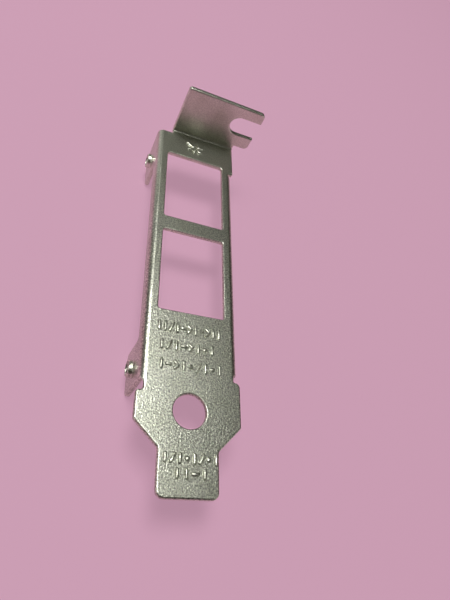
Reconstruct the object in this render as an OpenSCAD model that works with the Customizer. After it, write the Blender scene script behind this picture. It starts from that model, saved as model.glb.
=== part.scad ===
// Low-profile expansion-card bracket, folded from one sheet: a face plate with two connector
// windows and a round hole, a chamfered tongue, two side flanges, two card tabs with drawn and
// tapped collars, and a top tab with an open screw slot.
// Millimetres. Origin at the centre of the round hole, on the outer face.
// +x runs across the face, +y along it towards the top tab, +z out of the outer face.

/* [Sheet] */
// Thickness of the sheet
sheet = 0.86; // [0.74:0.02:0.98]
// Inside radius of the side bends
side_bend = 0.40; // [0.30:0.05:0.60]
// Inside radius of the top bend
top_bend = 0.50; // [0.40:0.05:0.80]

/* [Face plate] */
// Length from the tongue's end to the upper surface of the top tab
overall_length = 79.20; // [78.8:0.1:80.0]
// Height of the round hole above the tongue's end
hole_height = 13.30; // [12.8:0.1:13.6]
// Radius of the round hole
hole_r = 2.90; // [2.4:0.1:3.4]
// Width over the two side flanges
body_width = 17.60; // [17.4:0.1:17.9]
// Width over the shoulders
shoulder_width = 18.42; // [18.2:0.02:18.8]
// Top of the left shoulder, above the round hole
left_shoulder = 2.75; // [2.4:0.05:2.9]
// Top of the right shoulder, above the round hole
right_shoulder = 6.00; // [5.6:0.1:6.2]
// Rounding of the shoulder corners
shoulder_round = 0.55; // [0.3:0.05:0.8]
// Depth of the relief notches, in from the shoulder's side
relief_depth = 1.20; // [1.0:0.05:1.4]

/* [Tongue] */
// Width of the tongue
tongue_width = 10.19; // [9.8:0.01:10.6]
// Straight length of the tongue's sides
tongue_straight = 7.20; // [6.8:0.1:7.6]
// Rounding of the tongue's end corners
tongue_round = 1.30; // [1.0:0.1:2.0]

/* [Windows] */
// Width of each window
window_width = 12.80; // [12.0:0.1:13.2]
// Height of each window
window_height = 18.10; // [17.6:0.1:18.3]
// Bar left between the windows
window_bar = 3.35; // [2.8:0.05:3.6]
// Lower edge of the lower window, above the round hole
window_start = 18.00; // [17.6:0.1:18.2]
// Corner radius of the windows
window_round = 0.50; // [0.3:0.1:1.0]

/* [Side flanges] */
// Depth of the side flanges, back from the outer face
flange_depth = 3.00; // [2.6:0.1:3.4]
// Lower end of the left flange, above the round hole
left_start = 4.60; // [4.4:0.1:4.9]
// Upper end of the left flange, above the round hole
left_end = 64.10; // [63.8:0.1:64.3]
// Lower end of the right flange, above the round hole
right_start = 7.20; // [6.9:0.1:7.6]
// Upper end of the right flange, above the round hole
right_end = 55.70; // [55.3:0.1:56.0]
// Gap above the right flange, below the full-width top
right_gap = 0.60; // [0.4:0.1:1.0]
// Rounding of the flange ends
flange_round = 0.50; // [0.3:0.1:0.8]

/* [Card tabs] */
// Width of each card tab
tab_width = 8.20; // [7.8:0.1:8.6]
// Reach of the card tabs, back from the outer face
tab_reach = 10.80; // [10.2:0.1:11.4]
// Rounding of the card tabs' corners
tab_round = 1.00; // [0.6:0.1:1.4]
// Rounding where a card tab meets the flange edge
tab_root_round = 0.60; // [0.3:0.1:1.0]
// Collar centre, above the tab's lower edge
collar_rise = 3.75; // [3.4:0.05:4.2]
// Collar centre, back from the outer face
collar_back = 6.30; // [5.9:0.1:6.7]
// Outer radius of the collars
collar_r = 1.60; // [1.5:0.05:1.8]
// Height of the collars above the tab
collar_height = 1.20; // [0.8:0.1:1.6]
// Radius of the tapped bore
thread_r = 1.05; // [0.95:0.05:1.15]
// Rounding of the collar's mouth
collar_mouth = 0.20; // [0.1:0.05:0.25]
// Rounding at the collar's root
collar_root = 0.25; // [0.15:0.05:0.35]
// Drawn-in rounding of the bore on the tab's inner side
collar_draw = 0.35; // [0.2:0.05:0.45]

/* [Top tab] */
// Left edge of the top tab
top_left = -5.60; // [-5.9:0.1:-5.2]
// Right end of the top tab
top_right = 12.50; // [12.0:0.1:13.0]
// Reach of the top tab, out from the outer face
top_reach = 11.43; // [11.2:0.01:11.8]
// Lower edge of the part that runs past the plate's side
top_lower = 1.00; // [0.9:0.05:1.4]
// Width of the screw slot
slot_width = 4.42; // [4.2:0.02:4.6]
// Centre of the screw slot's round end
slot_x = 8.10; // [7.7:0.1:8.5]
// Height of the screw slot's centre above the outer face
slot_z = 6.50; // [6.2:0.1:6.8]
// Rounding of the corner at the top tab's left end
top_left_round = 0.60; // [0.3:0.1:1.2]
// Rounding of the corners at the top tab's right end
top_right_round = 1.10; // [0.5:0.1:1.2]

/* [Hidden] */
$fn = 96;
cut = 1;                                   // how far a cutting solid runs past a surface
tongue_end = -hole_height;
chamfer_start = tongue_end + tongue_straight;
chamfer_rise = (shoulder_width - tongue_width)/2;
outer_bend = side_bend + sheet;
fold_x = body_width/2 - outer_bend;        // where the side bends start
tab_top = overall_length - hole_height;    // upper surface of the top tab
tab_under = tab_top - sheet;
top_fold = tab_under - top_bend;           // where the top bend starts
side_x = body_width/2;
shoulder_x = shoulder_width/2;
relief_x = shoulder_x - relief_depth;
full_start = right_end + right_gap;        // lower edge of the full-width top
slot_r = slot_width/2;

// Unit vector from a to b
function unit(a, b) = (b - a)/norm(b - a);
// Distance from a corner to where its rounding starts
function reach(a, p, b, r) = r/tan(acos(unit(p, a)*unit(p, b))/2);
function turn(a, p, b) = (p[0] - a[0])*(b[1] - p[1]) - (p[1] - a[1])*(b[0] - p[0]);
function mid(a, p, b, r) =
    let (u = unit(p, a), v = unit(p, b), w = u + v)
    p + w/norm(w)*r/sin(acos(u*v)/2);

// A closed outline, taken anticlockwise, whose corners each have a radius: [x, y, radius]
module outline(c) {
    n = len(c);
    pts = [for (i = [0:n-1]) let (p = [c[i][0], c[i][1]], q = c[(i+n-1)%n], s = c[(i+1)%n],
            a = [q[0], q[1]], b = [s[0], s[1]], r = c[i][2])
            each (r > 0 ? [p + unit(p, a)*reach(a, p, b, r), p + unit(p, b)*reach(a, p, b, r)] : [p])];
    difference() {
        union() {
            polygon(pts);
            for (i = [0:n-1]) corner(c, i, 1);
        }
        for (i = [0:n-1]) corner(c, i, -1);
    }
}
module corner(c, i, side) {
    n = len(c);
    p = [c[i][0], c[i][1]];
    q = c[(i+n-1)%n];
    s = c[(i+1)%n];
    a = [q[0], q[1]];
    b = [s[0], s[1]];
    if (c[i][2] > 0 && side*turn(a, p, b) > 0) translate(mid(a, p, b, c[i][2])) circle(c[i][2]);
}

// A quarter of a tube, from the +x side to the +y side, standing on z = 0
module quarter_tube(inner, outer, length)
    intersection() {
        difference() {
            cylinder(r = outer, h = length);
            translate([0, 0, -cut]) cylinder(r = inner, h = length + 2*cut);
        }
        translate([0, 0, 0]) cube([outer + cut, outer + cut, length]);
    }

module face_outline()
    outline([
        [-tongue_width/2, tongue_end, tongue_round],
        [tongue_width/2, tongue_end, tongue_round],
        [tongue_width/2, chamfer_start, shoulder_round],
        [shoulder_x, chamfer_start + chamfer_rise, shoulder_round],
        [shoulder_x, right_shoulder, shoulder_round],
        [fold_x, right_shoulder, 0],
        [fold_x, full_start, 0],
        [shoulder_x, full_start, flange_round],
        [shoulder_x, top_fold, 0],
        [top_left, top_fold, 0],
        [top_left, left_end, 0],
        [-fold_x, left_end, 0],
        [-fold_x, left_shoulder, 0],
        [-shoulder_x, left_shoulder, shoulder_round],
        [-shoulder_x, chamfer_start + chamfer_rise, shoulder_round],
        [-tongue_width/2, chamfer_start, shoulder_round]
    ]);

module window(y)
    outline([
        [-window_width/2, y, window_round],
        [window_width/2, y, window_round],
        [window_width/2, y + window_height, window_round],
        [-window_width/2, y + window_height, window_round]
    ]);

// Left flange with its two card tabs, drawn as y along and z up
module left_flange_outline()
    outline([
        [left_start, -tab_reach, tab_round],
        [left_start + tab_width, -tab_reach, tab_round],
        [left_start + tab_width, -flange_depth, tab_root_round],
        [left_end - tab_width, -flange_depth, tab_root_round],
        [left_end - tab_width, -tab_reach, tab_round],
        [left_end, -tab_reach, tab_round],
        [left_end, -outer_bend, 0],
        [left_start, -outer_bend, 0]
    ]);

module right_flange_outline()
    outline([
        [right_start, -flange_depth, flange_round],
        [right_end, -flange_depth, flange_round],
        [right_end, -outer_bend, 0],
        [right_start, -outer_bend, 0]
    ]);

// Top tab, drawn as x along and z up
module top_tab_outline()
    difference() {
        outline([
            [top_left, top_bend, 0],
            [shoulder_x, top_bend, 0],
            [shoulder_x, top_lower, 0],
            [top_right, top_lower, top_right_round],
            [top_right, top_reach, top_right_round],
            [top_left, top_reach, top_left_round]
        ]);
        translate([slot_x, slot_z]) circle(slot_r);
        translate([slot_x, slot_z - slot_r]) square([top_right - slot_x + cut, slot_width]);
    }

// Outside of a drawn collar, standing on z = 0, with a foot that runs down into the sheet
module collar()
    rotate_extrude() {
        translate([0, -sheet/2]) square([collar_r, sheet/2 + collar_height - collar_mouth]);
        square([collar_r - collar_mouth, collar_height]);
        translate([collar_r - collar_mouth, collar_height - collar_mouth]) circle(collar_mouth);
        difference() {
            translate([collar_r - collar_root, -sheet/2])
                square([2*collar_root, sheet/2 + collar_root]);
            translate([collar_r + collar_root, collar_root]) circle(collar_root);
        }
    }

// Tapped bore with the drawn-in rounding at its inner mouth; z = 0 is the tab's outer surface
module collar_bore() {
    translate([0, 0, -sheet - cut]) cylinder(r = thread_r, h = sheet + collar_height + 2*cut);
    translate([0, 0, -sheet]) rotate_extrude()
        difference() {
            translate([0, -cut]) square([thread_r + collar_draw, cut + collar_draw]);
            translate([thread_r + collar_draw, collar_draw]) circle(collar_draw);
        }
}

module on_left_tabs()
    for (y = [left_start + collar_rise, left_end - tab_width + collar_rise])
        translate([-side_x, y, -collar_back]) rotate([0, -90, 0]) children();

module relief(side, from, to)
    translate([side > 0 ? relief_x : -relief_x - 2*cut - relief_depth, from, -flange_depth])
        cube([relief_depth + 2*cut, to - from, flange_depth + cut]);

module bracket()
    color([0.70, 0.71, 0.68])
    difference() {
        union() {
            translate([0, 0, -sheet]) linear_extrude(sheet) face_outline();
            // side bends
            translate([-fold_x, left_end, -outer_bend]) rotate([90, 0, 0]) mirror([1, 0, 0])
                quarter_tube(side_bend, outer_bend, left_end - left_shoulder);
            translate([fold_x, full_start, -outer_bend]) rotate([90, 0, 0])
                quarter_tube(side_bend, outer_bend, full_start - right_shoulder);
            // side flanges
            translate([-side_x, 0, 0]) rotate([90, 0, 90]) linear_extrude(sheet) left_flange_outline();
            translate([side_x - sheet, 0, 0]) rotate([90, 0, 90]) linear_extrude(sheet)
                right_flange_outline();
            // top bend and tab
            translate([top_left, top_fold, top_bend]) rotate([0, 90, 0])
                quarter_tube(top_bend, top_bend + sheet, shoulder_x - top_left);
            translate([0, tab_top, 0]) rotate([90, 0, 0]) linear_extrude(sheet) top_tab_outline();
            on_left_tabs() collar();
        }
        translate([0, 0, -sheet - cut]) cylinder(r = hole_r, h = sheet + 2*cut);
        for (i = [0, 1]) translate([0, 0, -sheet - cut]) linear_extrude(sheet + 2*cut)
            window(window_start + i*(window_height + window_bar));
        on_left_tabs() collar_bore();
        relief(-1, left_shoulder, left_start);
        relief(1, right_shoulder, right_start);
        relief(1, right_end, full_start);
    }

bracket();
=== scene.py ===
"""A low-profile expansion card bracket of satin nickel-plated sheet steel, lying face up.

The bracket is made as the shop makes it: a flat blank is cut out, punched and its edges are
rounded, then it is folded along its side and top bends, and the two card tabs get their drawn
and tapped collars. The sheet is worked in millimetres and scaled to metres at the end.
"""

import math

import bmesh
import bpy
from mathutils import Matrix, Vector


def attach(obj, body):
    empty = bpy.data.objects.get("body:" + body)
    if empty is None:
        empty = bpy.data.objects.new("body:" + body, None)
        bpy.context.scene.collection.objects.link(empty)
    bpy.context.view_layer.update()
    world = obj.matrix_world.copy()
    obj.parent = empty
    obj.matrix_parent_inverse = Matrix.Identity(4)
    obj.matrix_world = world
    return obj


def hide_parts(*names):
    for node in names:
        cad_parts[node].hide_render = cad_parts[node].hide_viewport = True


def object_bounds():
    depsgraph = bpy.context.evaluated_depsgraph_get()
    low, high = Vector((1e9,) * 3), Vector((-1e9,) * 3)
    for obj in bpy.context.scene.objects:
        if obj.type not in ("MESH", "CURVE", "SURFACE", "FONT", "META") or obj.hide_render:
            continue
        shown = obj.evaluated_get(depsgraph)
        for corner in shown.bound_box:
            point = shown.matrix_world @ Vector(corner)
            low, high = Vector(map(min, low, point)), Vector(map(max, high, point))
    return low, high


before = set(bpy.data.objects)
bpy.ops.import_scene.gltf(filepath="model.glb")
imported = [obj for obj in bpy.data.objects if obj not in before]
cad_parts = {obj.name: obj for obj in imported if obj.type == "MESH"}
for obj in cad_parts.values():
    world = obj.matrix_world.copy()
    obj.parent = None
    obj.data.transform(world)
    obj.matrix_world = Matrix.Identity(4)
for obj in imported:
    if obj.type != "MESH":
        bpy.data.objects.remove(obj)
cad_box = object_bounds()

MM = 0.001

# ---------------------------------------------------------------- sizes, in millimetres
SHEET = 0.86
SIDE_BEND = 0.40
TOP_BEND = 0.50
TONGUE_END = -13.30
TONGUE_HALF = 5.095
CHAMFER_START = -6.10
SHOULDER_HALF = 9.21
SHOULDER_LOW = CHAMFER_START + SHOULDER_HALF - TONGUE_HALF
LEFT_SHOULDER = 2.75
RIGHT_SHOULDER = 6.00
SIDE = 8.80
RELIEF = 8.01
LEFT_START, LEFT_END = 4.60, 64.10
RIGHT_START, RIGHT_END, FULL_START = 7.20, 55.70, 56.30
FLANGE_DEPTH = 3.00
TAB_REACH, TAB_WIDTH = 10.80, 8.20
HOLE_R = 2.90
WINDOW_HALF, WINDOW_HEIGHT, WINDOW_BAR, WINDOW_START = 6.40, 18.10, 3.35, 18.00
TAB_TOP = 65.90
TOP_LEFT, TOP_RIGHT, TOP_REACH, TOP_LOWER = -5.60, 12.50, 11.43, 1.00
SLOT_HALF, SLOT_X, SLOT_Z = 2.21, 8.10, 6.50
COLLAR_RISE, COLLAR_BACK, COLLAR_R, COLLAR_HEIGHT = 3.75, 6.30, 1.55, 0.90
BORE_R, COLLAR_MOUTH, COLLAR_ROOT, COLLAR_DRAW = 1.05, 0.20, 0.25, 0.35
THREAD_DEPTH, THREAD_PITCH = 0.16, 0.45

# roundings of the outline's corners and of the edges
TONGUE_ROUND_LEFT, TONGUE_ROUND_RIGHT = 1.4, 1.2
SHOULDER_ROUND, RIGHT_SHOULDER_ROUND = 0.55, 1.00
LEFT_NOTCH_ROUND, RIGHT_NOTCH_ROUND = 0.55, 0.18
FLANGE_ROUND, TAB_ROUND, TAB_ROOT_ROUND = 0.5, 1.0, 0.6
TOP_RIGHT_ROUND, TOP_LEFT_ROUND, WINDOW_ROUND = 1.1, 0.6, 0.5
EDGE_ROLL, HOLE_ROLL, EDGE_BURR = 0.34, 0.22, 0.07

OUTER_BEND = SIDE_BEND + SHEET
FOLD_X = SIDE - OUTER_BEND
TOP_FOLD = TAB_TOP - SHEET - TOP_BEND
SIDE_ARC = (SIDE_BEND + SHEET / 2) * math.pi / 2
TOP_ARC = (TOP_BEND + SHEET / 2) * math.pi / 2
COLLAR_SEAT = COLLAR_R + COLLAR_ROOT + 0.10
COLLAR_SIDES, HOLE_SIDES, THREAD_SIDES = 64, 96, 48
CORNER_STEPS, FOLD_STEPS, NOTCH_STEPS = 8, 10, 6
SAME_PLACE = 1e-5


def across(depth):
    """Distance from the middle of the flat blank to a flange point this far back from the face."""
    return FOLD_X + SIDE_ARC + depth - OUTER_BEND


def along(height):
    """Distance along the flat blank to a top tab point this far out of the face."""
    return TOP_FOLD + TOP_ARC + height - TOP_BEND


# ---------------------------------------------------------------- shop tools
def by_place(part):
    """Sorts vertices, edges or faces by where their corners are, rounded to a micrometre."""
    verts = [part] if isinstance(part, bmesh.types.BMVert) else part.verts
    return sorted(tuple(round(value, 3) for value in v.co) for v in verts)


def in_fixed_order(bm):
    """The same mesh with all its parts in an order that is the same on each run."""
    verts = sorted(bm.verts, key=by_place)
    number = {v: k for k, v in enumerate(verts)}
    tidy = bmesh.new()
    copies = [tidy.verts.new(v.co) for v in verts]
    for face in sorted(bm.faces, key=by_place):
        ring = [number[v] for v in face.verts]
        first = ring.index(min(ring))
        tidy.faces.new([copies[k] for k in ring[first:] + ring[:first]])
    bm.free()
    tidy.normal_update()
    return tidy


def mesh_object(name, bm):
    """Puts a finished bmesh into the scene as an object."""
    mesh = bpy.data.meshes.new(name)
    bm.to_mesh(mesh)
    bm.free()
    piece = bpy.data.objects.new(name, mesh)
    bpy.context.scene.collection.objects.link(piece)
    return piece


def raised(bm, height):
    """Gives a flat face its thickness."""
    grown = bmesh.ops.extrude_face_region(bm, geom=bm.faces[:])
    top = [v for v in grown["geom"] if isinstance(v, bmesh.types.BMVert)]
    bmesh.ops.translate(bm, verts=top, vec=(0, 0, height))
    bmesh.ops.recalc_face_normals(bm, faces=bm.faces[:])
    return bm


def plate(corners, low, high):
    """A flat plate whose outline has a rounding at each corner: (x, y, radius)."""
    bm = bmesh.new()
    verts = [bm.verts.new((x, y, low)) for x, y, _ in corners]
    bm.faces.new(verts)
    for radius in sorted({r for _, _, r in corners if r > 0}):
        for vert, (x, y, r) in zip(list(verts), corners):
            if r != radius:
                continue
            a, b = (e.other_vert(vert).co - vert.co for e in vert.link_edges)
            reach = r / math.tan(a.angle(b) / 2)
            bmesh.ops.bevel(bm, geom=[vert], offset=reach, offset_type="OFFSET",
                            segments=CORNER_STEPS, profile=0.5, affect="VERTICES", material=-1)
    return raised(bm, high - low)


def disc(x, y, radius, sides, low, high):
    """A flat round disc."""
    bm = bmesh.new()
    bmesh.ops.create_circle(bm, cap_ends=True, segments=sides, radius=radius,
                            matrix=Matrix.Translation((x, y, low)))
    return raised(bm, high - low)


def joined(parts):
    """One bmesh from several."""
    whole = bmesh.new()
    for part in parts:
        mesh = bpy.data.meshes.new("part")
        part.to_mesh(mesh)
        part.free()
        whole.from_mesh(mesh)
        bpy.data.meshes.remove(mesh)
    return whole


def punched(blank, punches):
    """The blank with the punches cut out of it."""
    work = mesh_object("blank", blank)
    tool = mesh_object("punches", punches)
    cut = work.modifiers.new("punch", "BOOLEAN")
    cut.operation, cut.solver, cut.object = "DIFFERENCE", "EXACT", tool
    bpy.context.view_layer.update()
    done = work.evaluated_get(bpy.context.evaluated_depsgraph_get())
    bm = bmesh.new()
    bm.from_mesh(done.to_mesh())
    done.to_mesh_clear()
    for piece in (work, tool):
        mesh = piece.data
        bpy.data.objects.remove(piece)
        bpy.data.meshes.remove(mesh)
    return bm


# ---------------------------------------------------------------- the flat blank
def blank_outline():
    """The corners of the unfolded sheet, anticlockwise from the tongue: (x, y, radius)."""
    shoulder, flange, tab = SHOULDER_ROUND, FLANGE_ROUND, TAB_ROUND
    left_notch, right_notch = LEFT_NOTCH_ROUND, RIGHT_NOTCH_ROUND
    lower_tab_end, upper_tab_start = LEFT_START + TAB_WIDTH, LEFT_END - TAB_WIDTH
    return [
        (-TONGUE_HALF, TONGUE_END, TONGUE_ROUND_LEFT),
        (TONGUE_HALF, TONGUE_END, TONGUE_ROUND_RIGHT),
        (TONGUE_HALF, CHAMFER_START, shoulder),
        (SHOULDER_HALF, SHOULDER_LOW, shoulder),
        (SHOULDER_HALF, RIGHT_SHOULDER, RIGHT_SHOULDER_ROUND),
        (RELIEF, RIGHT_SHOULDER, right_notch),
        (RELIEF, RIGHT_START, right_notch),
        (across(FLANGE_DEPTH), RIGHT_START, flange),
        (across(FLANGE_DEPTH), RIGHT_END, flange),
        (RELIEF, RIGHT_END, right_notch),
        (RELIEF, FULL_START, right_notch),
        (SHOULDER_HALF, FULL_START, flange),
        (SHOULDER_HALF, along(TOP_LOWER), 0),
        (TOP_RIGHT, along(TOP_LOWER), TOP_RIGHT_ROUND),
        (TOP_RIGHT, along(TOP_REACH), TOP_RIGHT_ROUND),
        (TOP_LEFT, along(TOP_REACH), TOP_LEFT_ROUND),
        (TOP_LEFT, LEFT_END, 0),
        (-across(TAB_REACH), LEFT_END, tab),
        (-across(TAB_REACH), upper_tab_start, tab),
        (-across(FLANGE_DEPTH), upper_tab_start, TAB_ROOT_ROUND),
        (-across(FLANGE_DEPTH), lower_tab_end, TAB_ROOT_ROUND),
        (-across(TAB_REACH), lower_tab_end, tab),
        (-across(TAB_REACH), LEFT_START, tab),
        (-RELIEF, LEFT_START, left_notch),
        (-RELIEF, LEFT_SHOULDER, left_notch),
        (-SHOULDER_HALF, LEFT_SHOULDER, shoulder),
        (-SHOULDER_HALF, SHOULDER_LOW, shoulder),
        (-TONGUE_HALF, CHAMFER_START, shoulder),
    ]


def collar_places():
    """Where the collars sit: their y, in the flat blank and on the folded bracket alike."""
    return [LEFT_START + COLLAR_RISE, LEFT_END - TAB_WIDTH + COLLAR_RISE]


def all_punches():
    """The round hole, the two windows, the screw slot and the seats of the collars."""
    low, high = -SHEET - 1, 1
    punches = [disc(0, 0, HOLE_R, HOLE_SIDES, low, high)]
    for row in (0, 1):
        y = WINDOW_START + row * (WINDOW_HEIGHT + WINDOW_BAR)
        corners = ((-WINDOW_HALF, y), (WINDOW_HALF, y),
                   (WINDOW_HALF, y + WINDOW_HEIGHT), (-WINDOW_HALF, y + WINDOW_HEIGHT))
        punches.append(plate([(*corner, WINDOW_ROUND) for corner in corners], low, high))
    slot_y, left, open_end = along(SLOT_Z), SLOT_X - SLOT_HALF, TOP_RIGHT + 2
    slot_round = SLOT_HALF * 0.998  # just under half the slot, so that two corners make its end
    punches.append(plate([(left, slot_y - SLOT_HALF, slot_round),
                          (open_end, slot_y - SLOT_HALF, 0),
                          (open_end, slot_y + SLOT_HALF, 0),
                          (left, slot_y + SLOT_HALF, slot_round)], low, high))
    for y in collar_places():
        punches.append(disc(-across(COLLAR_BACK), y, COLLAR_SEAT, COLLAR_SIDES, low, high))
    return joined(punches)


def rim_edges(bm, z):
    """The edges of the outline and holes at one face of the blank, leaving out the collar holes."""
    seats = [Vector((-across(COLLAR_BACK), y)) for y in collar_places()]
    rims = []
    for edge in bm.edges:
        if any(abs(v.co.z - z) > 1e-4 for v in edge.verts) or len(edge.link_faces) != 2:
            continue
        if edge.calc_face_angle(0) < math.radians(60):
            continue
        middle = (edge.verts[0].co + edge.verts[1].co) / 2
        if min((middle.xy - s).length for s in seats) < COLLAR_SEAT + 0.05:
            continue
        rims.append(edge)
    return rims


def round_a_hole(edge):
    """Whether a rim edge belongs to the round hole or a window, and not to the outline."""
    x, y = ((edge.verts[0].co + edge.verts[1].co) / 2).xy
    windows_end = WINDOW_START + 2 * WINDOW_HEIGHT + WINDOW_BAR
    in_window = abs(x) < WINDOW_HALF + 0.02 and WINDOW_START - 0.02 < y < windows_end + 0.02
    return in_window or math.hypot(x, y) < HOLE_R + 0.05


def score(bm, parts, place, across_line):
    """Cuts a line of vertices into the sheet, where it will bend."""
    bmesh.ops.bisect_plane(bm, geom=parts, dist=SAME_PLACE, plane_co=place,
                           plane_no=across_line)


def everything(bm):
    """All parts of a mesh."""
    return bm.verts[:] + bm.edges[:] + bm.faces[:]


def side_strip(bm, side):
    """All that lies past the start of one side bend."""
    strip = [f for f in bm.faces if side * f.calc_center_median().x > FOLD_X]
    verts = sorted({v for f in strip for v in f.verts}, key=by_place)
    edges = sorted({e for f in strip for e in f.edges}, key=by_place)
    return verts + edges + strip


def flat_blank():
    """The punched sheet with rolled edges, scored where it bends."""
    bm = punched(plate(blank_outline(), -SHEET, 0), all_punches())
    bmesh.ops.remove_doubles(bm, verts=bm.verts[:], dist=1e-4)
    bm = in_fixed_order(bm)
    for z, size, steps, at_hole in ((0, EDGE_ROLL, 6, False), (0, HOLE_ROLL, 5, True),
                                    (-SHEET, EDGE_BURR, 2, False), (-SHEET, EDGE_BURR, 2, True)):
        rims = [e for e in rim_edges(bm, z) if round_a_hole(e) == at_hole]
        bmesh.ops.bevel(bm, geom=rims, offset=size, offset_type="OFFSET",
                        segments=steps, profile=0.5, affect="EDGES", material=-1,
                        loop_slide=True, clamp_overlap=False)
    for side in (-1, 1):
        for k in range(FOLD_STEPS + 1):
            x = side * (FOLD_X + SIDE_ARC * k / FOLD_STEPS)
            score(bm, everything(bm), (x, 0, 0), (1, 0, 0))
    for side, start, end in ((-1, LEFT_SHOULDER, LEFT_START), (1, RIGHT_SHOULDER, RIGHT_START),
                             (1, RIGHT_END, FULL_START)):
        for k in range(NOTCH_STEPS + 1):
            y = start + (end - start) * k / NOTCH_STEPS
            score(bm, side_strip(bm, side), (0, y, 0), (0, 1, 0))
    for k in range(FOLD_STEPS + 1):
        y = TOP_FOLD + TOP_ARC * k / FOLD_STEPS
        score(bm, everything(bm), (0, y, 0), (0, 1, 0))
    return bm


# ---------------------------------------------------------------- folding
def ramp(value, start, end):
    """Rises smoothly from 0 to 1."""
    t = min(1, max(0, (value - start) / (end - start)))
    return t * t * (3 - 2 * t)


def side_fold_share(x, y):
    """How much of the side bend a point takes: none at a shoulder, all of it on a flange."""
    if x < 0:
        return ramp(y, LEFT_SHOULDER, LEFT_START) if y < LEFT_START else float(y < LEFT_END + 0.01)
    return ramp(y, RIGHT_SHOULDER, RIGHT_START) * (1 - ramp(y, RIGHT_END, FULL_START))


def fold(bm):
    """Bends the flat blank down along both sides and up along the top."""
    for vert in bm.verts:
        x, y, z = vert.co
        side = math.copysign(1, x)
        past = abs(x) - FOLD_X
        share = side_fold_share(x, y) if past > 0 else 0
        if share > 0:
            full_turn = math.pi / 2 * share
            middle = SIDE_ARC / full_turn
            turn = min(past / SIDE_ARC, 1) * full_turn
            rest = max(0, past - SIDE_ARC)
            arm = middle + SHEET / 2 + z
            x = side * (FOLD_X + arm * math.sin(turn) + rest * math.cos(turn))
            z = -SHEET / 2 - middle + arm * math.cos(turn) - rest * math.sin(turn)
        elif y > TOP_FOLD:
            past = y - TOP_FOLD
            turn = min(past / TOP_ARC, 1) * math.pi / 2
            rest = max(0, past - TOP_ARC)
            arm = TOP_BEND - z
            y = TOP_FOLD + arm * math.sin(turn) + rest * math.cos(turn)
            z = TOP_BEND - arm * math.cos(turn) + rest * math.sin(turn)
        vert.co = (x, y, z)


# ---------------------------------------------------------------- the drawn collars
def quarter(cx, cz, radius, start, end, steps=6):
    """Points of an arc in a collar's profile, angles in degrees."""
    return [(cx + radius * math.cos(math.radians(start + (end - start) * k / steps)),
             cz + radius * math.sin(math.radians(start + (end - start) * k / steps)))
            for k in range(steps + 1)]


def collar_profile():
    """Radius and height of the collar's skin, from its seat outside round to its seat inside."""
    wall = BORE_R + THREAD_DEPTH
    lead = 0.14
    skin = [(COLLAR_SEAT, 0)]
    skin += quarter(COLLAR_R + COLLAR_ROOT, COLLAR_ROOT, COLLAR_ROOT, 270, 180)
    skin += quarter(COLLAR_R - COLLAR_MOUTH, COLLAR_HEIGHT - COLLAR_MOUTH, COLLAR_MOUTH, 0, 90)
    skin += [(wall + lead * 0.5, COLLAR_HEIGHT - 0.02), (wall, COLLAR_HEIGHT - lead)]
    skin += quarter(wall + COLLAR_DRAW, -SHEET + COLLAR_DRAW, COLLAR_DRAW, 180, 270)
    skin += [(COLLAR_SEAT, -SHEET)]
    return skin


def spun(profile):
    """A full turn of a profile of (radius, height) about z, as a mesh open at its two ends."""
    bm = bmesh.new()
    verts = [bm.verts.new((r, 0, h)) for r, h in profile]
    edges = [bm.edges.new(pair) for pair in zip(verts, verts[1:])]
    bmesh.ops.spin(bm, geom=verts + edges, cent=(0, 0, 0), axis=(0, 0, 1), dvec=(0, 0, 0),
                   angle=math.tau, steps=COLLAR_SIDES, use_merge=True)
    return bm


def thread():
    """The screw thread inside a collar: a three-sided ridge wound up the bore."""
    wall, crest = BORE_R + THREAD_DEPTH, BORE_R
    low, high = -SHEET + COLLAR_DRAW * 0.8, COLLAR_HEIGHT - 0.22
    turns = (high - low) / THREAD_PITCH
    foot, sunk = THREAD_PITCH * 0.46, 0.03
    bm = bmesh.new()
    ring = [bm.verts.new((wall + sunk, 0, low - foot)), bm.verts.new((crest, 0, low)),
            bm.verts.new((wall + sunk, 0, low + foot))]
    face = bm.faces.new(ring)
    steps = int(turns * THREAD_SIDES)
    bmesh.ops.spin(bm, geom=[face], cent=(0, 0, 0), axis=(0, 0, 1),
                   dvec=(0, 0, (high - low) / steps), angle=math.tau * turns, steps=steps)
    bmesh.ops.recalc_face_normals(bm, faces=bm.faces[:])
    return bm


def on_left_tab(bm, y):
    """Moves a mesh that stands on z = 0 onto the outer side of the left flange."""
    place = Matrix.Translation((-SIDE, y, -COLLAR_BACK)) @ Matrix.Rotation(-math.pi / 2, 4, "Y")
    bmesh.ops.transform(bm, matrix=place, verts=bm.verts[:])
    return bm


def open_collar_seats(bm):
    """Takes away the walls of the two collar holes, so that the collars' skins join the tabs."""
    walls = []
    for face in bm.faces:
        c = face.calc_center_median()
        if c.x > -SIDE + SHEET + 0.01 or abs(face.normal.x) > 0.5:
            continue
        for y in collar_places():
            if math.hypot(c.y - y, c.z + COLLAR_BACK) < COLLAR_SEAT + 0.02:
                walls.append(face)
    bmesh.ops.delete(bm, geom=walls, context="FACES")


# ---------------------------------------------------------------- plain stamped marks
def stroke(x0, y0, x1, y1, width=0.64, height=0.30):
    """A low raised bar with round ends, pressed up out of the face."""
    bm = bmesh.new()
    bmesh.ops.create_uvsphere(bm, u_segments=16, v_segments=8, radius=0.5)
    bmesh.ops.scale(bm, verts=bm.verts[:], vec=(width, width, height * 2))
    length = math.hypot(x1 - x0, y1 - y0)
    for end in (-1, 1):
        bmesh.ops.translate(bm, vec=(end * length / 2, 0, 0),
                            verts=[v for v in bm.verts if v.co.x * end > 1e-6])
    bmesh.ops.rotate(bm, verts=bm.verts[:], cent=(0, 0, 0),
                     matrix=Matrix.Rotation(math.atan2(y1 - y0, x1 - x0), 3, "Z"))
    bmesh.ops.translate(bm, verts=bm.verts[:], vec=((x0 + x1) / 2, (y0 + y1) / 2, 0))
    return bm


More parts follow.
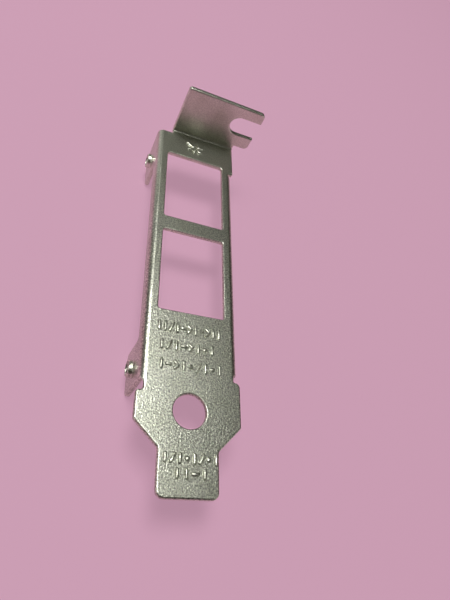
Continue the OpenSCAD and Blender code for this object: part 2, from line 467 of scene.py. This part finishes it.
def mark_row(start, y, height, kinds, step):
    """A row of plain marks: upright ticks, dots, chevrons, slants and dashes, no letters."""
    marks = []
    half = height / 2
    for place, kind in enumerate(kinds.split()):
        x = start + place * step
        if kind == "tick":
            marks.append(stroke(x, y - half, x, y + half))
        elif kind == "dot":
            marks.append(stroke(x - 0.06, y, x + 0.06, y, 0.80, 0.25))
        elif kind == "dash":
            marks.append(stroke(x - step * 0.30, y, x + step * 0.30, y))
        elif kind == "chevron":
            marks.append(stroke(x - 0.30, y - half * 0.85, x + 0.30, y))
            marks.append(stroke(x - 0.30, y + half * 0.85, x + 0.30, y))
        elif kind == "slant":
            marks.append(stroke(x - 0.30, y - half, x + 0.30, y + half))
    return marks


def stamped_marks():
    """Three rows of marks above the hole, two on the tongue and a small one near the top."""
    marks = mark_row(-6.0, 14.65, 1.45, "tick tick slant tick dash chevron tick dot chevron "
                                        "tick tick", 1.12)
    marks += mark_row(-5.4, 11.15, 1.30, "tick slant tick dash chevron tick dot tick", 1.32)
    marks += mark_row(-5.3, 7.62, 1.40, "tick dash chevron tick dot slant tick dot tick", 1.32)
    marks += mark_row(-3.9, -7.45, 1.15, "tick slant tick dot tick slant dot tick", 1.20)
    marks += mark_row(-1.9, -9.70, 1.05, "tick tick dash tick", 1.50)
    marks += [stroke(x0, y0, x1, y1, 0.70, 0.30) for x0, y0, x1, y1 in
              ((-2.0, 62.2, -0.9, 61.3), (0.2, 62.3, -0.7, 61.2), (0.5, 61.3, 1.5, 61.6),
               (-1.6, 60.3, -0.6, 60.5), (-0.2, 60.4, -0.4, 59.7), (0.6, 60.2, 1.2, 60.0))]
    return marks


# ---------------------------------------------------------------- the whole bracket
def make_bracket():
    """The folded sheet with its collars, threads and marks, as one piece."""
    bm = flat_blank()
    fold(bm)
    bm.normal_update()
    bmesh.ops.dissolve_limit(bm, angle_limit=math.radians(0.4), use_dissolve_boundaries=False,
                             verts=bm.verts[:], edges=bm.edges[:], delimit=set())
    bm.normal_update()
    open_collar_seats(bm)
    collars = [on_left_tab(spun(collar_profile()), y) for y in collar_places()]
    bm = joined([bm] + collars)
    bmesh.ops.remove_doubles(bm, verts=bm.verts[:], dist=2e-3)
    bmesh.ops.holes_fill(bm, edges=[e for e in bm.edges if e.is_boundary], sides=8)
    bmesh.ops.recalc_face_normals(bm, faces=bm.faces[:])
    threads = [on_left_tab(thread(), y) for y in collar_places()]
    bm = joined([bm] + threads + stamped_marks())
    bmesh.ops.scale(bm, verts=bm.verts[:], vec=(MM, MM, MM))
    for face in bm.faces:
        face.smooth = True
    for edge in bm.edges:
        edge.smooth = edge.calc_face_angle(0) < math.radians(40)
    piece = mesh_object("folded_bracket", bm)
    even = piece.modifiers.new("even shading", "WEIGHTED_NORMAL")
    even.mode, even.weight, even.keep_sharp = "FACE_AREA", 50, True
    return piece


# ---------------------------------------------------------------- finish
def satin_nickel():
    """Nickel plating over a fine pebbled sheet: greenish grey, satin, with a grainy glitter."""
    material = bpy.data.materials.new("satin nickel")
    material.use_nodes = True
    nodes, links = material.node_tree.nodes, material.node_tree.links
    shader = nodes["Principled BSDF"]
    shader.inputs["Metallic"].default_value = 1.0

    place = nodes.new("ShaderNodeTexCoord")

    def noise(scale, detail, rough):
        tex = nodes.new("ShaderNodeTexNoise")
        tex.inputs["Scale"].default_value = scale
        tex.inputs["Detail"].default_value = detail
        tex.inputs["Roughness"].default_value = rough
        links.new(place.outputs["Object"], tex.inputs["Vector"])
        return tex

    def spread(source, low, high, at_low, at_high):
        level = nodes.new("ShaderNodeMapRange")
        level.inputs["From Min"].default_value = low
        level.inputs["From Max"].default_value = high
        level.inputs["To Min"].default_value = at_low
        level.inputs["To Max"].default_value = at_high
        links.new(source, level.inputs["Value"])
        return level.outputs["Result"]

    pebbles = noise(3900, 2.0, 0.6)
    clouds = noise(150, 4.0, 0.6)

    tint = nodes.new("ShaderNodeValToRGB")
    tint.color_ramp.elements[0].position = 0.32
    tint.color_ramp.elements[0].color = (0.57, 0.585, 0.47, 1)
    tint.color_ramp.elements[1].position = 0.70
    tint.color_ramp.elements[1].color = (0.73, 0.74, 0.63, 1)
    links.new(clouds.outputs["Fac"], tint.inputs["Fac"])
    speckle = noise(3400, 1.0, 0.5)
    fleck = nodes.new("ShaderNodeMix")
    fleck.data_type, fleck.blend_type = "RGBA", "MULTIPLY"
    lengthwise = nodes.new("ShaderNodeSeparateXYZ")
    links.new(place.outputs["Object"], lengthwise.inputs["Vector"])
    links.new(spread(lengthwise.outputs["Y"], 0.028, 0.056, 1.0, 0.30), fleck.inputs["Factor"])
    links.new(tint.outputs["Color"], fleck.inputs["A"])
    links.new(spread(speckle.outputs["Fac"], 0.30, 0.70, 0.42, 1.28), fleck.inputs["B"])
    links.new(fleck.outputs["Result"], shader.inputs["Base Color"])
    links.new(spread(clouds.outputs["Fac"], 0.3, 0.7, 0.33, 0.28), shader.inputs["Roughness"])

    grain = nodes.new("ShaderNodeBump")
    grain.inputs["Strength"].default_value = 0.85
    grain.inputs["Distance"].default_value = 0.00007
    links.new(pebbles.outputs["Fac"], grain.inputs["Height"])
    links.new(grain.outputs["Normal"], shader.inputs["Normal"])
    return material


# ---------------------------------------------------------------- room, lights and camera
def make_floor(height):
    """A plain pink floor that glows a little to the eye, so that the shadows on it stay soft."""
    bm = bmesh.new()
    bmesh.ops.create_grid(bm, x_segments=1, y_segments=1, size=1.5,
                          matrix=Matrix.Translation((0, 0, height)))
    floor = mesh_object("floor", bm)
    paint = bpy.data.materials.new("pale floor")
    paint.use_nodes = True
    nodes, links = paint.node_tree.nodes, paint.node_tree.links
    nodes.clear()
    seen = nodes.new("ShaderNodeLightPath")
    rays = nodes.new("ShaderNodeMath")
    rays.operation = "MAXIMUM"
    links.new(seen.outputs["Is Camera Ray"], rays.inputs[0])
    links.new(seen.outputs["Is Glossy Ray"], rays.inputs[1])
    share = nodes.new("ShaderNodeMath")
    share.operation = "MULTIPLY"
    share.inputs[1].default_value = 0.70
    links.new(rays.outputs["Value"], share.inputs[0])
    matt = nodes.new("ShaderNodeBsdfDiffuse")
    matt.inputs["Color"].default_value = (0.70, 0.41, 0.54, 1)
    glow = nodes.new("ShaderNodeEmission")
    glow.inputs["Color"].default_value = (0.61, 0.345, 0.465, 1)
    mix = nodes.new("ShaderNodeMixShader")
    links.new(share.outputs["Value"], mix.inputs["Fac"])
    links.new(matt.outputs["BSDF"], mix.inputs[1])
    links.new(glow.outputs["Emission"], mix.inputs[2])
    out = nodes.new("ShaderNodeOutputMaterial")
    links.new(mix.outputs["Shader"], out.inputs["Surface"])
    floor.data.materials.append(paint)
    return floor


def soft_lamp(name, place, target, width, depth, power):
    """A rectangular lamp that faces a target."""
    lamp = bpy.data.lights.new(name, "AREA")
    lamp.shape, lamp.size, lamp.size_y, lamp.energy = "RECTANGLE", width, depth, power
    holder = bpy.data.objects.new(name, lamp)
    aim = Vector(target) - Vector(place)
    holder.matrix_world = (Matrix.Translation(place)
                           @ aim.to_track_quat("-Z", "Y").to_matrix().to_4x4())
    bpy.context.scene.collection.objects.link(holder)
    return holder


def make_room():
    """A dim warm room with a pale wall, one soft window light and three weak wall lights."""
    scene = bpy.context.scene
    scene.view_settings.view_transform = "Standard"
    world = bpy.data.worlds.new("room")
    world.use_nodes = True
    nodes, links = world.node_tree.nodes, world.node_tree.links
    dim = nodes["Background"]
    dim.inputs["Color"].default_value = (1.0, 0.94, 0.74, 1)
    dim.inputs["Strength"].default_value = 0.04
    wall = nodes.new("ShaderNodeBackground")
    wall.inputs["Color"].default_value = (0.72, 0.62, 0.67, 1)
    wall.inputs["Strength"].default_value = 0.85
    seen = nodes.new("ShaderNodeLightPath")
    mix = nodes.new("ShaderNodeMixShader")
    links.new(seen.outputs["Is Camera Ray"], mix.inputs["Fac"])
    links.new(dim.outputs["Background"], mix.inputs[1])
    links.new(wall.outputs["Background"], mix.inputs[2])
    links.new(mix.outputs["Shader"], nodes["World Output"].inputs["Surface"])
    scene.world = world
    middle = (0, 0.02, 0)
    soft_lamp("window light", (-0.14, 0.14, 0.64), middle, 0.28, 0.20, 3.5)
    soft_lamp("far wall light", (-0.45, 0.95, 0.20), middle, 0.70, 0.50, 0.9)
    soft_lamp("left wall light", (-0.85, -0.15, 0.30), middle, 0.60, 0.40, 0.9)
    soft_lamp("near wall light", (0.90, -0.45, 0.28), middle, 0.70, 0.50, 0.9)


def make_camera():
    """Close to the tongue's left side, looking up along the face."""
    camera = bpy.data.cameras.new("camera")
    camera.sensor_width = 36
    camera.lens = 27.755
    camera.clip_start, camera.clip_end = 0.005, 10
    holder = bpy.data.objects.new("camera", camera)
    right = (0.91456, -0.01733, 0.40409)
    up = (-0.19147, 0.86150, 0.47028)
    back = (-0.35627, -0.50747, 0.78457)
    turn = Matrix((right, up, back)).transposed().to_4x4()
    holder.matrix_world = Matrix.Translation((-0.0250, -0.02263, 0.06956)) @ turn
    bpy.context.scene.collection.objects.link(holder)
    bpy.context.scene.camera = holder


make_camera()
bracket = make_bracket()
bracket.data.materials.append(satin_nickel())
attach(bracket, "root")
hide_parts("bracket")
make_floor(cad_box[0][2])
make_room()

bpy.context.view_layer.update()
